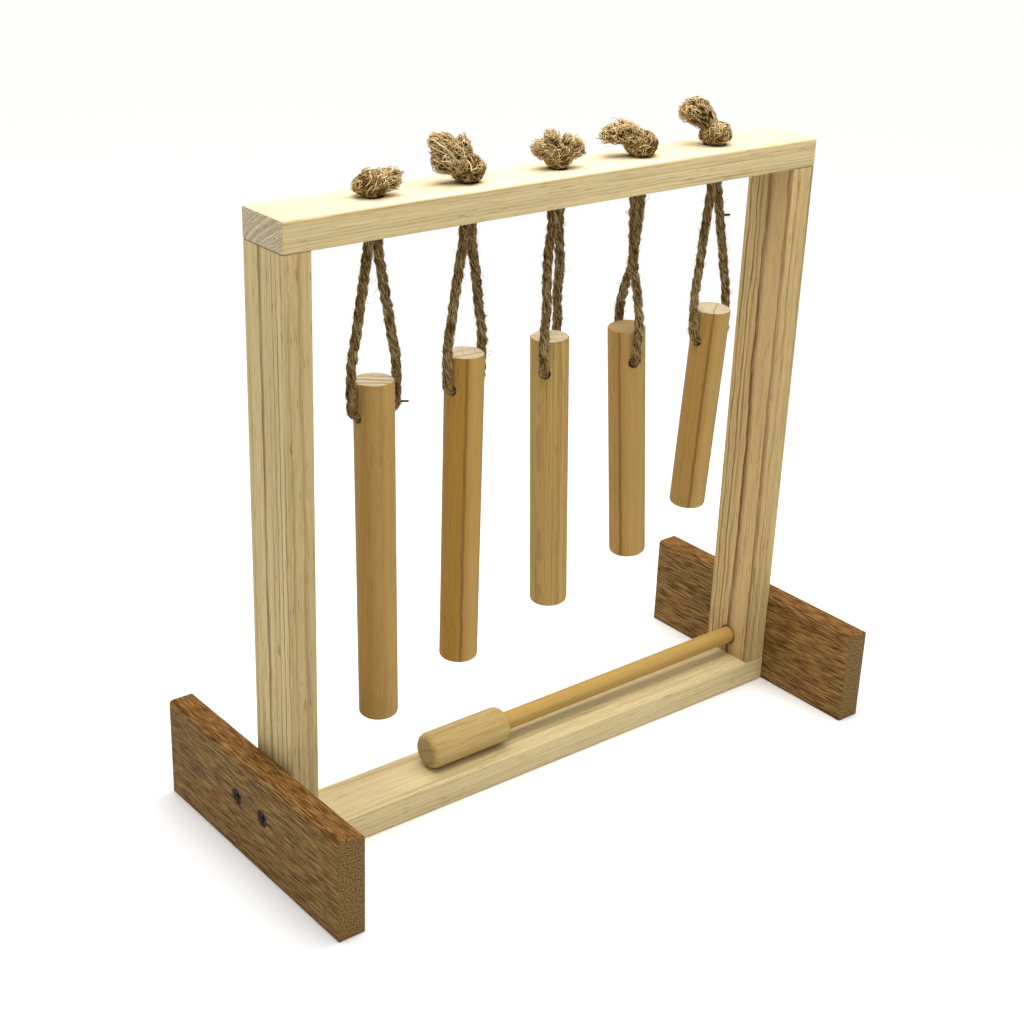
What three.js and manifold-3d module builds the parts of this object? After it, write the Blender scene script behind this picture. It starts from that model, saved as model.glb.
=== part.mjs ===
// Wooden chime: a pine frame on two hardwood feet, five dowel chimes hung on twine loops,
// and a mallet that lies on the bottom rail with its handle in a hole in the right upright.
// Millimetres. X runs along the frame, Y from front to back, Z up from the floor.

import * as THREE from 'three';
import { mergeVertices } from 'three/addons/utils/BufferGeometryUtils.js';
import Module from 'manifold-3d';

const wasm = await Module();
wasm.setup();

// Clearances
const fitGap = 0.3; // between pieces that seat on each other
const cutPast = 1; // how far a cutter runs past the face that it opens

// Pine of the frame
const pineWidth = 42;
const pineThick = 19;
const pineEase = 1.5; // eased long edges
const endEase = 0.8; // eased ends of the beam and the rail
const endMargin = 54; // from the outer chimes to the uprights
const underChimes = 58.5; // from the rail up to the longest chime

// Hardwood feet
const footLength = 200;
const footHeight = 70;
const footThick = 19;
const footRound = 5; // long top edges
const footEndRound = 2; // top edges at the ends
const footEase = 1; // other edges

// Glued pins in the butt joints of the frame
const pinDiameter = 8;
const pinLength = 28;
const pinEndGap = 1;
const pinWall = 1.2; // least wood between a pin and the mallet's hole
const pinEdge = 8.65; // from a board's edge to the middle of its pins

// Screws through the feet
const screwLength = 32;
const screwDiameter = 4.2;
const screwHeadDiameter = 11;
const screwHeadHeight = 3.4;
const screwTip = 6;
const screwSpacing = 30;
const screwAbovePins = 6.5;
const screwRecess = 1; // depth of the head under the foot's face
const screwSlotLength = 6.2;
const screwSlotWidth = 1.3;
const screwSlotDepth = 1.8;

// Dowel chimes
const chimeDiameter = 25;
const chimePitch = 68;
const firstLength = 226;
const secondLength = 209;
const thirdLength = 188;
const fourthLength = 166;
const fifthLength = 146;
const chimeTopEase = 1;
const chimeEndEase = 2.5;
const crossHoleSpare = 2.5; // how much wider the cross hole is than its twine
const crossHoleDepth = 21.5; // from the chime's top to the middle of its cross hole

// Twine. A drop is from the beam down to the twine in the chime's cross hole, and the strands
// of a loop part at its parting.
const twineDiameter = 5.5;
const firstDrop = 111;
const secondDrop = 106.5;
const thirdDrop = 109;
const fourthDrop = 114;
const fifthDrop = 110.8;
const firstParting = 9;
const secondParting = 16;
const thirdParting = 17;
const fourthParting = 50;
const fifthParting = 11;
const twineOverlap = 0.1; // how far doubled strands are pressed into each other
const strandGap = 0.5; // between the strands of a loop where they hang together
const beamHoleSpare = 1.1; // how much wider a beam hole is than the doubled twine
const neckLength = 7; // doubled twine that bends at the mouth of the beam hole
const neckGap = 0.8; // room for the loop to sway under its neck
const twistLength = 65; // height over which the strands turn to the cross hole
const sideGap = 0.55; // from a strand to the side of its chime
const clearOfTop = 8; // strands come alongside this far above the chime
const bendRadius = 4; // where a strand turns into the cross hole

// Knots
const wrapRadius = 5;
const wrapTube = 4.8;
const wrapLean = 35;
const knotCore = 7.5; // radius of the twine packed inside the wraps
const tailNeck = 4.2; // radius where the frayed ends leave the knot

// Mallet
const headDiameter = 25;
const headLength = 65;
const headRound = 5;
const headBoreDepth = 30;
const handleDiameter = 12.5;
const handleLength = 262;
const handleEase = 1;
const handleInSocket = 14;
const socketSpare = 1.2; // how much wider the hole is than the handle
const socketEndGap = 1;
const malletTilt = 0.5;

// How each chime hangs, from left to right. Angles are in degrees: holeTurn is the heading of
// the cross hole, swing leans fore and aft, sway leans sideways and rock tips the chime on its
// twine. A frayed end of a knot leaves it along turn and rise.
const chimes = [
  {
    length: firstLength,
    drop: firstDrop,
    parting: firstParting,
    holeTurn: 179.5,
    swing: 0.2,
    sway: -0.7,
    rock: 0.8,
    tails: [
      { turn: -20, rise: 22, length: 18, flare: 7.5 },
      { turn: 150, rise: 14, length: 13, flare: 7 },
    ],
  },
  {
    length: secondLength,
    drop: secondDrop,
    parting: secondParting,
    holeTurn: 192.1,
    swing: -0.2,
    sway: 0.2,
    rock: 0.2,
    tails: [
      { turn: 150, rise: 50, length: 28, flare: 9 },
      { turn: 165, rise: 22, length: 24, flare: 8 },
    ],
  },
  {
    length: thirdLength,
    drop: thirdDrop,
    parting: thirdParting,
    holeTurn: 215.6,
    swing: 0.8,
    sway: -0.9,
    rock: 2,
    tails: [
      { turn: 150, rise: 34, length: 22, flare: 8 },
      { turn: -20, rise: 56, length: 18, flare: 8.5 },
    ],
  },
  {
    length: fourthLength,
    drop: fourthDrop,
    parting: fourthParting,
    holeTurn: 251.6,
    swing: 0.8,
    sway: -0.2,
    rock: 4.3,
    tails: [{ turn: 155, rise: 32, length: 29, flare: 9 }],
  },
  {
    length: fifthLength,
    drop: fifthDrop,
    parting: fifthParting,
    holeTurn: 183.9,
    swing: -3.6,
    sway: 0.3,
    rock: -6.6,
    tails: [{ turn: 150, rise: 52, length: 32, flare: 9.5 }],
  },
];

// Sizes that follow from the ones above
const twineRadius = twineDiameter / 2;
const doubledOffset = twineRadius - twineOverlap;
const strandOffset = twineRadius + strandGap / 2;
const beamHoleRadius = doubledOffset + twineRadius + beamHoleSpare / 2;
const chimeRadius = chimeDiameter / 2;
const crossHoleRadius = (twineDiameter + crossHoleSpare) / 2;
const twineLift = crossHoleRadius - twineRadius - fitGap; // the chime hangs from the twine
const twineBelowTop = crossHoleDepth - twineLift;
const sideOffset = chimeRadius + sideGap + twineRadius;

const frameLength = (chimes.length - 1) * chimePitch + 2 * (endMargin + pineThick);
const reach = Math.max(...chimes.map((chime) => chime.drop + chime.length - twineBelowTop));
const uprightLength = reach + underChimes;
const beamHeight = pineThick + uprightLength; // underside of the beam
const uprightX = (frameLength - pineThick) / 2;
const innerX = frameLength / 2 - pineThick;

const socketRadius = (handleDiameter + socketSpare) / 2;
const pinRadius = pinDiameter / 2;
const pinHoleRadius = pinRadius + fitGap;
const pinY = Math.max(pineWidth / 2 - pinEdge, socketRadius + pinWall + pinHoleRadius);
const pinHoleDepth = pinLength / 2 + pinEndGap;
const screwZ = pineThick + pinHoleDepth + screwAbovePins;

const tilt = THREE.MathUtils.degToRad(malletTilt);
const handleStart = headLength - headBoreDepth + fitGap;
const malletX = innerX + handleInSocket - handleStart - handleLength;
const malletZ = pineThick + fitGap + headDiameter / 2;
const socketZ = malletZ + (innerX - malletX) * Math.tan(tilt);
const socketDepth = handleInSocket + socketEndGap;

// Finishes
const pine = new THREE.MeshStandardMaterial({ color: 0xe6d2a6, roughness: 0.62 });
const dowelPine = new THREE.MeshStandardMaterial({ color: 0xc99c5f, roughness: 0.5 });
const malletPine = new THREE.MeshStandardMaterial({ color: 0xd9bb7e, roughness: 0.55 });
const handleDowel = new THREE.MeshStandardMaterial({ color: 0xc8954a, roughness: 0.48 });
const hardwood = new THREE.MeshStandardMaterial({ color: 0x7a5232, roughness: 0.58 });
const jute = new THREE.MeshStandardMaterial({ color: 0x8a6f4a, roughness: 0.95 });
const blackSteel = new THREE.MeshStandardMaterial({
  color: 0x1f1e1d,
  roughness: 0.45,
  metalness: 0.8,
});

// Joins and cuts

function toSolid(geometry) {
  const bare = geometry.clone();
  bare.deleteAttribute('normal');
  bare.deleteAttribute('uv');
  const merged = mergeVertices(bare, 1e-4);
  return new wasm.Manifold(
    new wasm.Mesh({
      numProp: 3,
      vertProperties: new Float32Array(merged.attributes.position.array),
      triVerts: new Uint32Array(merged.index.array),
    }),
  );
}

function toGeometry(solid) {
  const mesh = solid.getMesh();
  const geometry = new THREE.BufferGeometry();
  geometry.setAttribute('position', new THREE.BufferAttribute(mesh.vertProperties, 3));
  geometry.setIndex(new THREE.BufferAttribute(mesh.triVerts, 1));
  geometry.computeVertexNormals();
  return geometry;
}

function cut(geometry, cutters) {
  let solid = toSolid(geometry);
  for (const cutter of cutters) {
    solid = solid.subtract(toSolid(cutter));
  }
  return toGeometry(solid);
}

function join(geometries) {
  const [first, ...rest] = geometries.map(toSolid);
  return toGeometry(rest.reduce((whole, next) => whole.add(next), first));
}

function intersect(geometries) {
  const [first, ...rest] = geometries.map(toSolid);
  return toGeometry(rest.reduce((whole, next) => whole.intersect(next), first));
}

// Shapes used by several pieces

// An upright outline on the line y = 0, with its own radius for the top and the bottom corners.
function boardOutline(width, height, topRound, bottomRound) {
  const half = width / 2;
  const turn = Math.PI / 2;
  const shape = new THREE.Shape();
  shape.absarc(half - bottomRound, bottomRound, bottomRound, -turn, 0);
  shape.absarc(half - topRound, height - topRound, topRound, 0, turn);
  shape.absarc(topRound - half, height - topRound, topRound, turn, 2 * turn);
  shape.absarc(bottomRound - half, bottomRound, bottomRound, 2 * turn, 3 * turn);
  shape.closePath();
  return shape;
}

// A solid of revolution about Z through points of [radius, height].
function turned(profile, sides) {
  const points = profile.map(([radius, height]) => new THREE.Vector2(radius, height));
  return new THREE.LatheGeometry(points, sides).rotateX(Math.PI / 2);
}

function roundBar(radius, bottom, top, sides) {
  return turned([[0, bottom], [radius, bottom], [radius, top], [0, top]], sides);
}

// A quarter round of a turned profile, from one angle to another in degrees.
function roundCorner(centreRadius, centreHeight, round, from, to, steps) {
  const points = [];
  for (let step = 0; step <= steps; step += 1) {
    const angle = THREE.MathUtils.degToRad(from + ((to - from) * step) / steps);
    points.push([
      centreRadius + round * Math.cos(angle),
      centreHeight + round * Math.sin(angle),
    ]);
  }
  return points;
}

function piece(name, geometry, material) {
  const mesh = new THREE.Mesh(geometry, material);
  mesh.name = name;
  return mesh;
}

const instrument = new THREE.Group();

// Pine frame

function pineBar(length, ease) {
  const section = boardOutline(pineThick, pineWidth, pineEase, pineEase);
  const bar = new THREE.ExtrudeGeometry(section, {
    depth: length - 2 * ease,
    curveSegments: 2,
    bevelEnabled: ease > 0,
    bevelThickness: ease,
    bevelSize: ease,
    bevelOffset: -ease,
    bevelSegments: 1,
  });
  return bar.translate(0, -pineWidth / 2, ease - length / 2);
}

function pinHole(x, y, joint) {
  const hole = roundBar(pinHoleRadius, -pinHoleDepth, pinHoleDepth, 16);
  return hole.translate(x, y, joint);
}

const jointHeights = { bottom: pineThick, top: beamHeight };
const sides = { left: -1, right: 1 };
const depths = { front: -1, back: 1 };

function pinHolesAt(joint) {
  const holes = [];
  for (const side of Object.values(sides)) {
    for (const depth of Object.values(depths)) {
      holes.push(pinHole(side * uprightX, depth * pinY, joint));
    }
  }
  return holes;
}

function chimeX(index) {
  return (index - (chimes.length - 1) / 2) * chimePitch;
}

const twineHoles = chimes.map((chime, index) =>
  roundBar(beamHoleRadius, -cutPast, pineThick + cutPast, 24).translate(chimeX(index), 0, beamHeight),
);
const beam = pineBar(frameLength, endEase).rotateY(Math.PI / 2);
beam.translate(0, 0, beamHeight + pineThick / 2);
const beamCuts = [...twineHoles, ...pinHolesAt(jointHeights.top)];
instrument.add(piece('top_beam', cut(beam, beamCuts), pine));

const rail = pineBar(frameLength, endEase).rotateY(Math.PI / 2).translate(0, 0, pineThick / 2);
instrument.add(piece('bottom_rail', cut(rail, pinHolesAt(jointHeights.bottom)), pine));

// Screws, drawn with the head's face at z = 0 and the tip pointing down

const screwHeadRadius = screwHeadDiameter / 2;
const screwRadius = screwDiameter / 2;

function screwGeometry() {
  const body = turned(
    [
      [0, -screwLength],
      [screwRadius, screwTip - screwLength],
      [screwRadius, -screwHeadHeight],
      [screwHeadRadius, 0],
      [0, 0],
    ],
    16,
  );
  const slot = new THREE.BoxGeometry(screwSlotLength, screwSlotWidth, 2 * screwSlotDepth);
  return cut(body, [slot, slot.clone().rotateZ(Math.PI / 2)]);
}

function screwHole() {
  const deep = -screwLength - fitGap - pinEndGap;
  return turned(
    [
      [0, deep],
      [screwRadius + fitGap, deep],
      [screwRadius + fitGap, -screwHeadHeight - fitGap],
      [screwHeadRadius + fitGap, -fitGap],
      [screwHeadRadius + fitGap, screwRecess + cutPast],
      [0, screwRecess + cutPast],
    ],
    16,
  );
}

// Turns something drawn along Z so that its +Z end faces out of a foot, and sets it in place.
function setInFoot(geometry, side, depth) {
  geometry.rotateY((side * Math.PI) / 2);
  const faceX = side * (frameLength / 2 + footThick - screwRecess);
  return geometry.translate(faceX, (depth * screwSpacing) / 2, screwZ);
}

function footGeometry() {
  const across = new THREE.ExtrudeGeometry(
    boardOutline(footThick, footHeight, footRound, footEase),
    { depth: footLength, curveSegments: 5, bevelEnabled: false },
  );
  across.translate(0, 0, -footLength / 2).rotateX(Math.PI / 2);
  const along = new THREE.ExtrudeGeometry(
    boardOutline(footLength, footHeight, footEndRound, footEase),
    { depth: footThick + 2 * cutPast, curveSegments: 5, bevelEnabled: false },
  );
  along.translate(0, 0, -footThick / 2 - cutPast).rotateX(Math.PI / 2).rotateZ(Math.PI / 2);
  const plan = new THREE.ExtrudeGeometry(boardOutline(footThick, footLength, footEase, footEase), {
    depth: footHeight + 2 * cutPast,
    curveSegments: 2,
    bevelEnabled: false,
  });
  plan.translate(0, -footLength / 2, -cutPast);
  return intersect([across, along, plan]);
}

for (const [sideName, side] of Object.entries(sides)) {
  const upright = pineBar(uprightLength, 0).translate(
    side * uprightX,
    0,
    pineThick + uprightLength / 2,
  );
  const uprightCuts = [];
  for (const depth of Object.values(depths)) {
    for (const joint of Object.values(jointHeights)) {
      uprightCuts.push(pinHole(side * uprightX, depth * pinY, joint));
    }
    uprightCuts.push(setInFoot(screwHole(), side, depth));
  }
  if (sideName === 'right') {
    const socket = roundBar(socketRadius, -cutPast, socketDepth, 24).rotateY(Math.PI / 2);
    uprightCuts.push(socket.translate(innerX, 0, socketZ));
  }
  instrument.add(piece(`${sideName}_upright`, cut(upright, uprightCuts), pine));

  const foot = footGeometry().translate(side * (frameLength + footThick) * 0.5, 0, 0);
  const footCuts = Object.values(depths).map((depth) => setInFoot(screwHole(), side, depth));
  instrument.add(piece(`${sideName}_foot`, cut(foot, footCuts), hardwood));

  for (const [depthName, depth] of Object.entries(depths)) {
    const screw = setInFoot(screwGeometry(), side, depth);
    instrument.add(piece(`foot_screw_${sideName}_${depthName}`, screw, blackSteel));
    for (const [jointName, joint] of Object.entries(jointHeights)) {
      const pin = roundBar(pinRadius, -pinLength / 2, pinLength / 2, 16);
      pin.translate(side * uprightX, depth * pinY, joint);
      instrument.add(piece(`frame_pin_${jointName}_${sideName}_${depthName}`, pin, handleDowel));
    }
  }
}

// Twine. A strand's section is an octagon.

const twineSides = 8;

class TwineRoute extends THREE.CatmullRomCurve3 {
  // Rings follow the points of the route, so they stand closer where the twine bends.
  getPointAt(share, target) {
    return this.getPoint(share, target);
  }

  getTangentAt(share, target) {
    return this.getTangent(share, target);
  }
}

// Half of a loop, from under its neck to the middle of the cross hole, as points of
// [distance from the loop's middle line, height under the beam, turn in degrees].
function strandHalf(chime) {
  const alongside = chime.drop - twineBelowTop - clearOfTop;
  const heights = [neckLength, chime.parting];
  const spreadSteps = 4;
  for (let step = 1; step <= spreadSteps; step += 1) {
    heights.push(chime.parting + ((alongside - chime.parting) * step) / spreadSteps);
  }
  const points = heights.map((height) => {
    const spread = Math.max(0, height - chime.parting) / (alongside - chime.parting);
    const twist = Math.min(1, (height - neckLength) / (twistLength - neckLength));
    return [
      THREE.MathUtils.lerp(strandOffset, sideOffset, spread),
      height,
      THREE.MathUtils.lerp(180, chime.holeTurn, twist),
    ];
  });
  const bendX = sideOffset - bendRadius;
  const bend = roundCorner(bendX, chime.drop - bendRadius, bendRadius, 0, 90, 3);
  for (const [offset, height] of bend) {
    points.push([offset, height, chime.holeTurn]);
  }
  points.push([bendX / 2, chime.drop, chime.holeTurn]);
  return points;
}

function loopGeometry(chime) {
  const half = strandHalf(chime);
  const point = ([offset, height, turn], flip) => {
    const angle = THREE.MathUtils.degToRad(turn) + flip * Math.PI;
    return new THREE.Vector3(
      offset * Math.cos(angle),
      offset * Math.sin(angle),
      neckLength - height,
    );
  };
  const route = new TwineRoute([
    ...half.map((entry) => point(entry, 0)),
    point([0, chime.drop, 0], 0),
    ...half.reverse().map((entry) => point(entry, 1)),
  ]);
  const section = new THREE.Shape().absarc(0, 0, twineRadius, 0, 2 * Math.PI);
  return new THREE.ExtrudeGeometry(section, {
    extrudePath: route,
    steps: 2 * (route.points.length - 1),
    curveSegments: twineSides / 2,
    bevelEnabled: false,
  });
}

// The doubled twine at the mouth of a beam hole. Its round top turns in place as the loop swings.
function neckGeometry() {
  const bottom = neckGap - neckLength;
  const strand = turned(
    [[0, bottom], [twineRadius, bottom], ...roundCorner(0, 0, twineRadius, 0, 90, 3)],
    twineSides,
  );
  return join([
    strand.clone().translate(-doubledOffset, 0, 0),
    strand.translate(doubledOffset, 0, 0),
  ]);
}

// A knot: two wraps round the doubled twine that comes up through the beam, and frayed ends.
// Its origin is on the beam's top face.
function knotGeometry(tails) {
  const lean = THREE.MathUtils.degToRad(wrapLean);
  const ballZ = fitGap + wrapTube + wrapRadius * Math.sin(lean);
  const strand = roundBar(twineRadius, twineRadius + fitGap - pineThick, ballZ, twineSides);
  const lumps = [
    strand.clone().translate(-doubledOffset, 0, 0),
    strand.translate(doubledOffset, 0, 0),
    new THREE.SphereGeometry(knotCore, 10, 8).translate(0, 0, ballZ),
  ];
  for (const side of Object.values(sides)) {
    const wrap = new THREE.TorusGeometry(wrapRadius, wrapTube, 7, 14).rotateX(side * lean);
    lumps.push(wrap.translate(0, 0, ballZ));
  }
  for (const tail of tails) {
    const brush = turned(
      [
        [0, 0],
        [tailNeck, 0],
        [tailNeck, 0.35 * tail.length],
        [0.85 * tail.flare, 0.65 * tail.length],
        [tail.flare, 0.85 * tail.length],
        [0.7 * tail.flare, tail.length],
        [0, tail.length],
      ],
      9,
    );
    brush.rotateY(THREE.MathUtils.degToRad(90 - tail.rise));
    brush.rotateZ(THREE.MathUtils.degToRad(tail.turn));
    lumps.push(brush.translate(0, 0, ballZ));
  }
  return join(lumps);
}

// A dowel chime, drawn with the twine in its cross hole at the origin and the hole along X.
function chimeGeometry(length) {
  const top = twineBelowTop;
  const bottom = twineBelowTop - length;
  const dowel = turned(
    [
      [0, bottom],
      ...roundCorner(chimeRadius - chimeEndEase, bottom + chimeEndEase, chimeEndEase, -90, 0, 3),
      [chimeRadius, top - chimeTopEase],
      [chimeRadius - chimeTopEase, top],
      [0, top],
    ],
    32,
  );
  const hole = roundBar(crossHoleRadius, -chimeRadius - cutPast, chimeRadius + cutPast, 16);
  return cut(dowel, [hole.rotateY(Math.PI / 2).translate(0, 0, -twineLift)]);
}

chimes.forEach((chime, index) => {
  const number = index + 1;
  const knot = piece(`twine_knot_${number}`, knotGeometry(chime.tails), jute);
  knot.position.set(chimeX(index), 0, beamHeight + pineThick);
  instrument.add(knot);

  const swinging = new THREE.Group();
  swinging.position.set(chimeX(index), 0, beamHeight);
  swinging.rotation.x = THREE.MathUtils.degToRad(chime.swing);
  swinging.add(piece(`twine_neck_${number}`, neckGeometry(), jute));
  instrument.add(swinging);

  const swaying = new THREE.Group();
  swaying.position.z = -neckLength;
  swaying.rotation.y = THREE.MathUtils.degToRad(chime.sway);
  swaying.add(piece(`twine_loop_${number}`, loopGeometry(chime), jute));
  swinging.add(swaying);

  const turnedToHole = new THREE.Group();
  turnedToHole.position.z = neckLength - chime.drop;
  turnedToHole.rotation.z = THREE.MathUtils.degToRad(chime.holeTurn);
  swaying.add(turnedToHole);

  const dowel = piece(`chime_${number}`, chimeGeometry(chime.length), dowelPine);
  dowel.rotation.x = THREE.MathUtils.degToRad(chime.rock);
  turnedToHole.add(dowel);
});

// Mallet, drawn along Z from the struck end of its head

const headRadius = headDiameter / 2;
const handleRadius = handleDiameter / 2;
const head = turned(
  [
    [0, 0],
    ...roundCorner(headRadius - headRound, headRound, headRound, -90, 0, 3),
    ...roundCorner(headRadius - headRound, headLength - headRound, headRound, 0, 90, 3),
    [0, headLength],
  ],
  32,
);
const headBore = roundBar(
  handleRadius + fitGap,
  headLength - headBoreDepth,
  headLength + cutPast,
  20,
);
const handle = turned(
  [
    [0, handleStart],
    [handleRadius, handleStart],
    [handleRadius, handleStart + handleLength - handleEase],
    [handleRadius - handleEase, handleStart + handleLength],
    [0, handleStart + handleLength],
  ],
  20,
);
const mallet = new THREE.Group();
mallet.position.set(malletX, 0, malletZ);
mallet.rotation.y = Math.PI / 2 - tilt;
mallet.add(piece('mallet_head', cut(head, [headBore]), malletPine));
mallet.add(piece('mallet_handle', handle, handleDowel));
instrument.add(mallet);

export default instrument;
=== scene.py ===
# Wooden chime: pine frame on hardwood feet, five dowel chimes on jute twine, and a mallet.
import math

import bmesh
import bpy
from mathutils import Matrix, Vector, noise


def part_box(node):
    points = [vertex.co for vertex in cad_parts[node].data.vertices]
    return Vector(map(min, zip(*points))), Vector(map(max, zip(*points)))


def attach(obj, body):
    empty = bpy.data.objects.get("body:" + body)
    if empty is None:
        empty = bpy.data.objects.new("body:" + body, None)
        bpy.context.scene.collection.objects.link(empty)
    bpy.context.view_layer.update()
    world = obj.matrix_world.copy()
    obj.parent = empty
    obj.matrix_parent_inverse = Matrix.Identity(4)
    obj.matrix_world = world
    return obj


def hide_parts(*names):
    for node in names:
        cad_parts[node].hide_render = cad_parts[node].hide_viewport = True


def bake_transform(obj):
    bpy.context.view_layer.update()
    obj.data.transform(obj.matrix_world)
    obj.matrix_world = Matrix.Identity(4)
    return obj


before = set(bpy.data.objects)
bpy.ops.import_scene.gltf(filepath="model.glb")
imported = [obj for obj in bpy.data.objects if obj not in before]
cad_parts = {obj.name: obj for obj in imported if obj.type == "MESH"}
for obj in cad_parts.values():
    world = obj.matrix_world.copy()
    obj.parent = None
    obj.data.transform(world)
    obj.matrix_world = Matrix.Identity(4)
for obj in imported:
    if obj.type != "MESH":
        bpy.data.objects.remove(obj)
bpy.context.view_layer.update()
scene = bpy.context.scene
mm = 0.001
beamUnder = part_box("top_beam")[0].z
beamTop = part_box("top_beam")[1].z
print("stage: frame loaded,", len(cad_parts), "CAD nodes")

# Camera, at the photograph's angle
cameraView = {
    "place": (-0.689319, -0.806222, 0.655869),
    "heading": -39.44057,
    "pitch": 65.96631,  # 90 looks level
    "roll": 2.12864,
    "lens": 61.6883,
}


def turned(degrees, axis):
    return Matrix.Rotation(math.radians(degrees), 4, axis)


def makeCamera(view):
    data = bpy.data.cameras.new("photoCamera")
    data.lens = view["lens"]
    camera = bpy.data.objects.new("photoCamera", data)
    scene.collection.objects.link(camera)
    aim = turned(view["heading"], "Z") @ turned(view["pitch"], "X") @ turned(view["roll"], "Z")
    camera.matrix_world = Matrix.Translation(view["place"]) @ aim
    scene.camera = camera


makeCamera(cameraView)
print("stage: camera set")


# Helpers for node trees, shaders and geometry alike

def socketNamed(sockets, name):
    return next(s for s in sockets if s.name == name and s.enabled)


# The node tree that the first linked value stands in
def treeOf(*values):
    return next(v.id_data for v in values if isinstance(v, (bpy.types.Node, bpy.types.NodeSocket)))


def feed(socket, value):
    if isinstance(value, bpy.types.Node):
        value = next(s for s in value.outputs if s.enabled)
    if isinstance(value, bpy.types.NodeSocket):
        treeOf(socket).links.new(value, socket)
    else:
        socket.default_value = value


def addNode(tree, kind, values=None, **settings):
    made = tree.nodes.new(kind)
    for key, value in settings.items():
        setattr(made, key, value)
    for key, value in (values or {}).items():
        feed(socketNamed(made.inputs, key), value)
    return made


def compute(kind, operation, values):
    made = addNode(treeOf(*values), kind, operation=operation)
    for socket, value in zip([s for s in made.inputs if s.enabled], values):
        feed(socket, value)
    return next(s for s in made.outputs if s.enabled)


def calc(operation, *values):
    return compute("ShaderNodeMath", operation, values)


def vectorCalc(operation, *values):
    return compute("ShaderNodeVectorMath", operation, values)


def times(*values):
    product = values[0]
    for value in values[1:]:
        product = calc("MULTIPLY", product, value)
    return product


def plus(first, second):
    return calc("ADD", first, second)


def minus(first, second):
    return calc("SUBTRACT", first, second)


def timesPlus(value, factor, extra):
    return calc("MULTIPLY_ADD", value, factor, extra)


def vectorSum(first, second):
    return vectorCalc("ADD", first, second)


def stretch(vector, factor):
    return vectorCalc("SCALE", vector, factor)


# A noise's colour as a vector that leans every way
def aroundZero(color):
    return vectorCalc("SUBTRACT", color, (0.5, 0.5, 0.5))


def combine(x=0.0, y=0.0, z=0.0):
    return addNode(treeOf(x, y, z), "ShaderNodeCombineXYZ", {"X": x, "Y": y, "Z": z})


def noiseOf(spot, detail, scale=1.0):
    return addNode(treeOf(spot), "ShaderNodeTexNoise", {"Vector": spot, "Scale": scale, "Detail": detail})


def smoothRange(value, low, high):
    return addNode(treeOf(value), "ShaderNodeMapRange", {
        "Value": value, "From Min": low, "From Max": high,
    }, interpolation_type="SMOOTHSTEP").outputs["Result"]


def blendColor(share, first, second):
    made = addNode(treeOf(share), "ShaderNodeMix", {
        "Factor": share, "A": first, "B": second,
    }, data_type="RGBA")
    return socketNamed(made.outputs, "Result")


def newMaterial(name):
    material = bpy.data.materials.new(name)
    material.use_nodes = True
    tree = material.node_tree
    tree.nodes.clear()
    output = tree.nodes.new("ShaderNodeOutputMaterial")
    shader = tree.nodes.new("ShaderNodeBsdfPrincipled")
    tree.links.new(shader.outputs["BSDF"], output.inputs["Surface"])
    return material, tree, shader


def setFinish(shader, roughness, shine):
    shader.inputs["Roughness"].default_value = roughness
    shader.inputs["Specular IOR Level"].default_value = shine


def newTree(name, inputs):
    tree = bpy.data.node_groups.new(name, "GeometryNodeTree")
    tree.interface.new_socket("Geometry", in_out="INPUT", socket_type="NodeSocketGeometry")
    for label, value in inputs.items():
        kind = "Int" if isinstance(value, int) else "Float"
        socket = tree.interface.new_socket(label, in_out="INPUT", socket_type="NodeSocket" + kind)
        socket.default_value = value
    tree.interface.new_socket("Material", in_out="INPUT", socket_type="NodeSocketMaterial")
    tree.interface.new_socket("Geometry", in_out="OUTPUT", socket_type="NodeSocketGeometry")
    return tree, tree.nodes.new("NodeGroupInput").outputs, tree.nodes.new("NodeGroupOutput").inputs


def endTree(geometry, material, output):
    tree = treeOf(geometry)
    whole = addNode(tree, "GeometryNodeRealizeInstances", {"Geometry": geometry})
    smooth = addNode(tree, "GeometryNodeSetShadeSmooth", {"Geometry": whole})
    feed(output["Geometry"], addNode(tree, "GeometryNodeSetMaterial", {
        "Geometry": smooth, "Material": material,
    }))


def drawValue(tree, kind, low, high, seed, key=None):
    made = addNode(tree, "FunctionNodeRandomValue", {"Min": low, "Max": high, "Seed": seed}, data_type=kind)
    if key is not None:
        feed(socketNamed(made.inputs, "ID"), key)
    return socketNamed(made.outputs, "Value")


def store(geometry, name, value, kind="FLOAT"):
    return addNode(treeOf(geometry), "GeometryNodeStoreNamedAttribute", {
        "Geometry": geometry, "Name": name, "Value": value,
    }, data_type=kind, domain="POINT")


def stored(tree, name, kind="FLOAT"):
    made = addNode(tree, "GeometryNodeInputNamedAttribute", {"Name": name}, data_type=kind)
    return socketNamed(made.outputs, "Attribute")


def alongCurve(tree, output):
    return addNode(tree, "GeometryNodeSplineParameter").outputs[output]


def positionIn(tree):
    return addNode(tree, "GeometryNodeInputPosition").outputs["Position"]


def tubeOn(curve, radius, sides):
    tree = treeOf(curve)
    ring = addNode(tree, "GeometryNodeCurvePrimitiveCircle", {"Resolution": sides, "Radius": 1.0})
    return addNode(tree, "GeometryNodeCurveToMesh", {
        "Curve": curve, "Profile Curve": ring.outputs["Curve"], "Scale": radius, "Fill Caps": True,
    })


def newPiece(name, mesh):
    piece = bpy.data.objects.new(name, mesh)
    scene.collection.objects.link(piece)
    return piece


# The mesh that an object's modifiers leave. The object itself goes.
def applied(holder):
    bpy.context.view_layer.update()
    evaluated = holder.evaluated_get(bpy.context.evaluated_depsgraph_get())
    mesh = bpy.data.meshes.new_from_object(evaluated)
    bpy.data.objects.remove(holder)
    return mesh


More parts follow.
